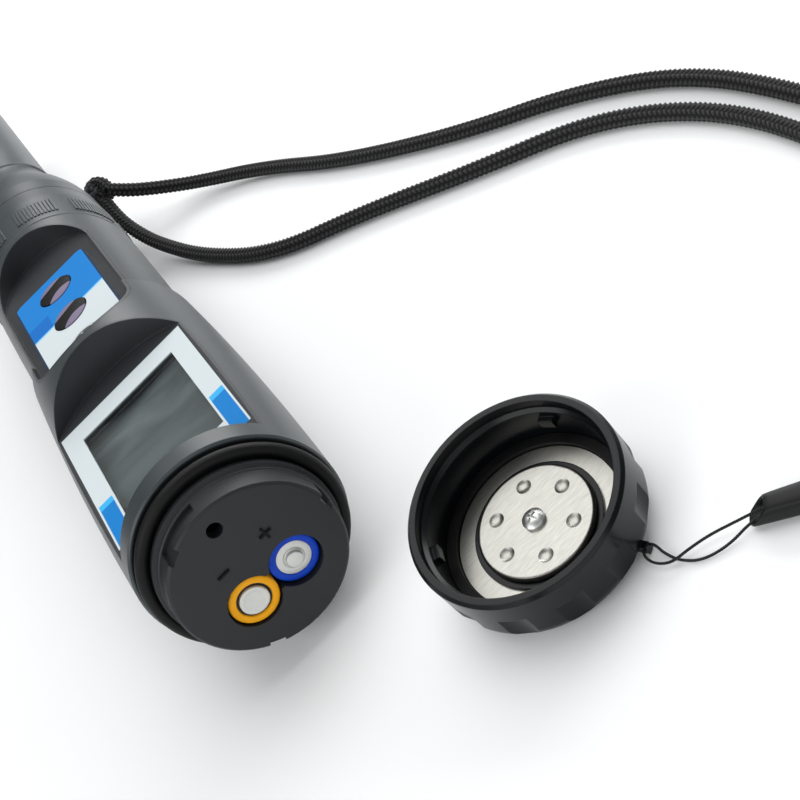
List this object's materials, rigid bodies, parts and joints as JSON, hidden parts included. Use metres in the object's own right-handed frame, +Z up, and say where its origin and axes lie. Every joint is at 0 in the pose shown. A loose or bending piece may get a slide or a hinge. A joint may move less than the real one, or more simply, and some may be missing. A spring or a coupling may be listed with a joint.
{
  "type": "digital water tester",
  "caption": "Pen-type digital water tester lying on its back, battery cap off and tethered by a braided wrist lanyard, probe under its storage sleeve",
  "frame": {"origin": "on the floor, under the tester's axis, at the middle of the flat land that the housing rests on", "axes": "+Y runs along the tester from the battery end to the probe, +Z is up through the display, +X is to the right of someone looking from the battery end"},
  "size_m": [0.1674, 0.3907, 0.0457],
  "materials": {
    "housing_plastic": "satin moulded grey ABS",
    "recess_plastic": "fine textured charcoal ABS",
    "black_plastic": "moulded black ABS",
    "printed_label": "printed polycarbonate film, white and blue",
    "window": "clear acrylic window",
    "lcd": "grey liquid crystal panel",
    "button_rubber": "glossy printed key",
    "circuit_board": "solder-masked glass epoxy",
    "chip": "epoxy package",
    "elastomer": "conductive silicone",
    "gold": "gold-plated contact",
    "steel": "pressed and brushed stainless steel",
    "zinc": "zinc-plated screw",
    "seal_rubber": "nitrile rubber",
    "cell_blue": "printed cell sleeve",
    "cell_yellow": "printed cell sleeve",
    "sensor_glass": "thin blown glass",
    "ceramic": "porous ceramic",
    "graphite": "pressed graphite rod",
    "sponge": "open-cell sponge",
    "cord": "braided polyester"
  },
  "bodies": {
    "root": {"main_housing": "housing_plastic", "lcd_surround": "recess_plastic", "lcd_window": "window", "lcd_label": "printed_label", "lcd_panel": "lcd", "lcd_backlight": "lcd", "zebra_strips": "elastomer", "keypad_panel": "recess_plastic", "keypad_pad": "recess_plastic", "keypad_label": "printed_label", "dome_switches": "steel", "main_board": "circuit_board", "board_screws": "zinc", "controller_chip": "chip", "probe_socket": "black_plastic", "battery_spigot": "black_plastic", "polarity_marks": "black_plastic", "spigot_seal": "seal_rubber", "inner_contacts": "gold"},
    "mode_button": {"mode_button": "button_rubber"},
    "set_button": {"set_button": "button_rubber"},
    "power_button": {"power_button": "housing_plastic"},
    "left_cells": {"cell_left_outer": "cell_yellow", "cell_left_inner": "cell_yellow"},
    "right_cells": {"cell_right_outer": "cell_blue", "cell_right_inner": "cell_blue"},
    "probe_module": {"probe_body": "housing_plastic", "module_pins": "gold", "module_seal": "seal_rubber", "glass_electrode": "sensor_glass", "conductivity_electrodes": "graphite", "temperature_sensor": "steel", "reference_junction": "ceramic", "lanyard_strand_a": "cord", "lanyard_strand_b": "cord", "lanyard_hitch": "cord"},
    "collar": {"locking_collar": "housing_plastic"},
    "storage_sleeve": {"storage_sleeve": "housing_plastic", "sleeve_seal": "seal_rubber", "storage_sponge": "sponge"},
    "cap": {"battery_cap": "black_plastic", "cap_gasket": "seal_rubber", "flange_plate": "steel", "insulator_ring": "black_plastic", "contact_screw": "zinc", "lanyard_connector": "black_plastic", "cap_string": "cord"},
    "contact_disc": {"contact_disc": "steel"}
  },
  "joints": [
    {"name": "mode_press", "type": "slide", "parent": "root", "child": "mode_button", "axis": [0, 0, -1], "range_m": [0, 0.0005], "stiffness_N_per_m": 800},
    {"name": "set_press", "type": "slide", "parent": "root", "child": "set_button", "axis": [0, 0, -1], "range_m": [0, 0.0005], "stiffness_N_per_m": 800},
    {"name": "power_press", "type": "slide", "parent": "root", "child": "power_button", "axis": [0, 0, -1], "range_m": [0, 0.0005], "stiffness_N_per_m": 800},
    {"name": "left_cells_slide", "type": "slide", "parent": "root", "child": "left_cells", "axis": [0, -1, 0], "range_m": [0, 0.095]},
    {"name": "right_cells_slide", "type": "slide", "parent": "root", "child": "right_cells", "axis": [0, -1, 0], "range_m": [0, 0.095]},
    {"name": "probe_slide", "type": "slide", "parent": "root", "child": "probe_module", "axis": [0, 1, 0], "range_m": [0, 0.0104]},
    {"name": "collar_turn", "type": "hinge", "parent": "probe_module", "child": "collar", "pos_m": [0, 0.086, 0.023], "axis": [0, 1, 0], "range_deg": [0, 1440]},
    {"name": "sleeve_slide", "type": "slide", "parent": "probe_module", "child": "storage_sleeve", "axis": [0, 1, 0], "range_m": [0, 0.08]},
    {"name": "cap_lift", "type": "slide", "parent": "probe_module", "child": "cap", "axis": [0, 0, 1], "range_m": [0, 0.05]},
    {"name": "disc_spin", "type": "hinge", "parent": "cap", "child": "contact_disc", "pos_m": [0.0426, -0.10978, 0.0075], "axis": [0, -0.1736, 0.9848], "continuous": true}
  ],
  "couplings": [
    {"joint": "collar_turn", "follows": "probe_slide", "rad_per_m": 2416.6}
  ]
}
